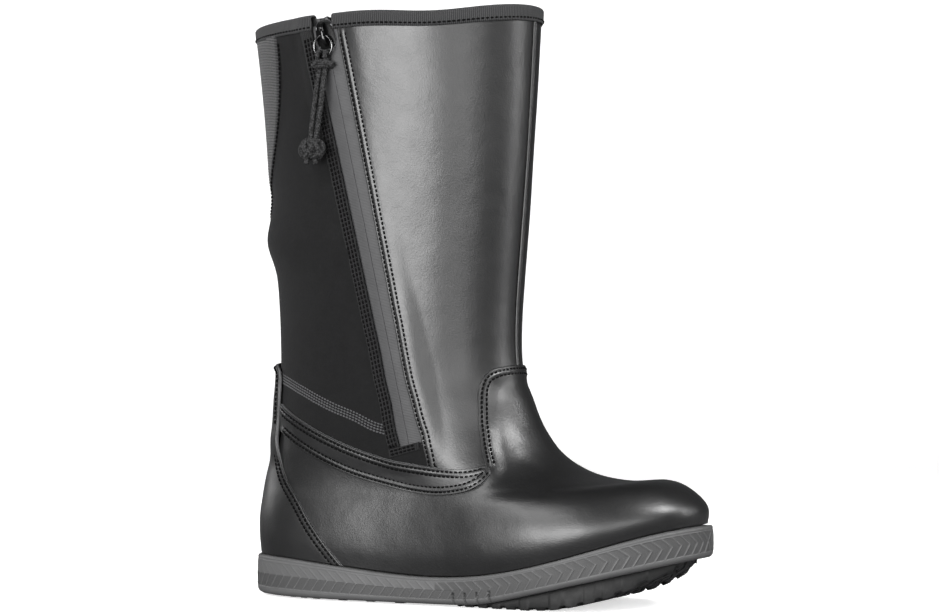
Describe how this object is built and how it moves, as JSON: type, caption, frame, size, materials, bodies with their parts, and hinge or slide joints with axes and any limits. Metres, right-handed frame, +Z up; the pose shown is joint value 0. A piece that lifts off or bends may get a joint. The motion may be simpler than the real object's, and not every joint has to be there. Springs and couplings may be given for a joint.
{
  "type": "side zip riding boot",
  "caption": "Tall pull-on stable boot with a leather front, a neoprene back panel, an outer side zip and a cup sole with a chevron wall.",
  "frame": {"origin": "on the ground under the heel pad", "axes": "+X to the toe, +Y to the inner side of the right foot, +Z up"},
  "size_m": [0.2286, 0.1088, 0.2797],
  "materials": {
    "sole_rubber": "matte, finely textured",
    "tread_rubber": "matte",
    "foam": "matte closed cell foam",
    "shank_steel": "brushed",
    "board": "fibre board",
    "footbed_fabric": "felted",
    "leather": "satin, fine grain",
    "stiffener_board": "bonded leather board",
    "neoprene": "matte jersey face",
    "stretch_gore": "ribbed elastic",
    "binding": "grosgrain",
    "lining_fabric": "soft knit",
    "zip_tape": "water resistant film",
    "zip_plastic": "moulded",
    "black_metal": "gloss black",
    "cord_braid": "braided"
  },
  "bodies": {
    "boot": {"outsole": "sole_rubber", "forefoot_tread": "tread_rubber", "heel_tread": "tread_rubber", "midsole": "foam", "shank": "shank_steel", "insole_board": "board", "footbed": "footbed_fabric", "vamp": "leather", "heel_counter": "leather", "outer_side_band": "leather", "inner_side_band": "leather", "outer_shaft_panel": "leather", "inner_shaft_panel": "leather", "front_piping": "leather", "rear_neoprene": "neoprene", "lower_neoprene": "neoprene", "rear_gore": "stretch_gore", "collar_binding": "binding", "shaft_lining": "lining_fabric", "foot_lining": "lining_fabric", "heel_stiffener": "stiffener_board", "toe_puff": "stiffener_board", "zip_tape_front": "zip_tape", "zip_coil_front": "zip_plastic", "zip_top_stop_front": "black_metal", "zip_bottom_stop": "black_metal", "zip_guard": "neoprene"},
    "slider": {"zip_slider": "black_metal"},
    "puller": {"puller_ring": "black_metal"},
    "cord": {"pull_cord": "cord_braid", "cord_knot": "cord_braid"},
    "flap": {"flap_neoprene": "neoprene", "flap_binding": "binding", "flap_lining": "lining_fabric", "zip_tape_rear": "zip_tape", "zip_coil_rear": "zip_plastic", "zip_top_stop_rear": "black_metal"}
  },
  "joints": [
    {"name": "slider_travel", "type": "slide", "parent": "boot", "child": "slider", "axis": [0.1965, 0.0519, -0.9791], "range_m": [0, 0.174]},
    {"name": "puller_swing", "type": "hinge", "parent": "slider", "child": "puller", "pos_m": [-0.00283, -0.04919, 0.26732], "axis": [-0.9805, 0.0104, -0.1962], "range_deg": [0, 100]},
    {"name": "cord_swing", "type": "hinge", "parent": "puller", "child": "cord", "pos_m": [-0.00047, -0.04857, 0.25557], "axis": [-1, 0, 0], "range_deg": [0, 75]},
    {"name": "flap_open", "type": "hinge", "parent": "boot", "child": "flap", "pos_m": [0.034, -0.0363, 0.079], "axis": [0.3202, 0.0084, -0.9473], "range_deg": [0, 60], "deforming": ["flap_neoprene", "flap_binding", "flap_lining", "zip_tape_rear", "zip_coil_rear"]}
  ],
  "couplings": [
    {"joint": "flap_open", "follows": "slider_travel", "rad_per_m": 6}
  ]
}
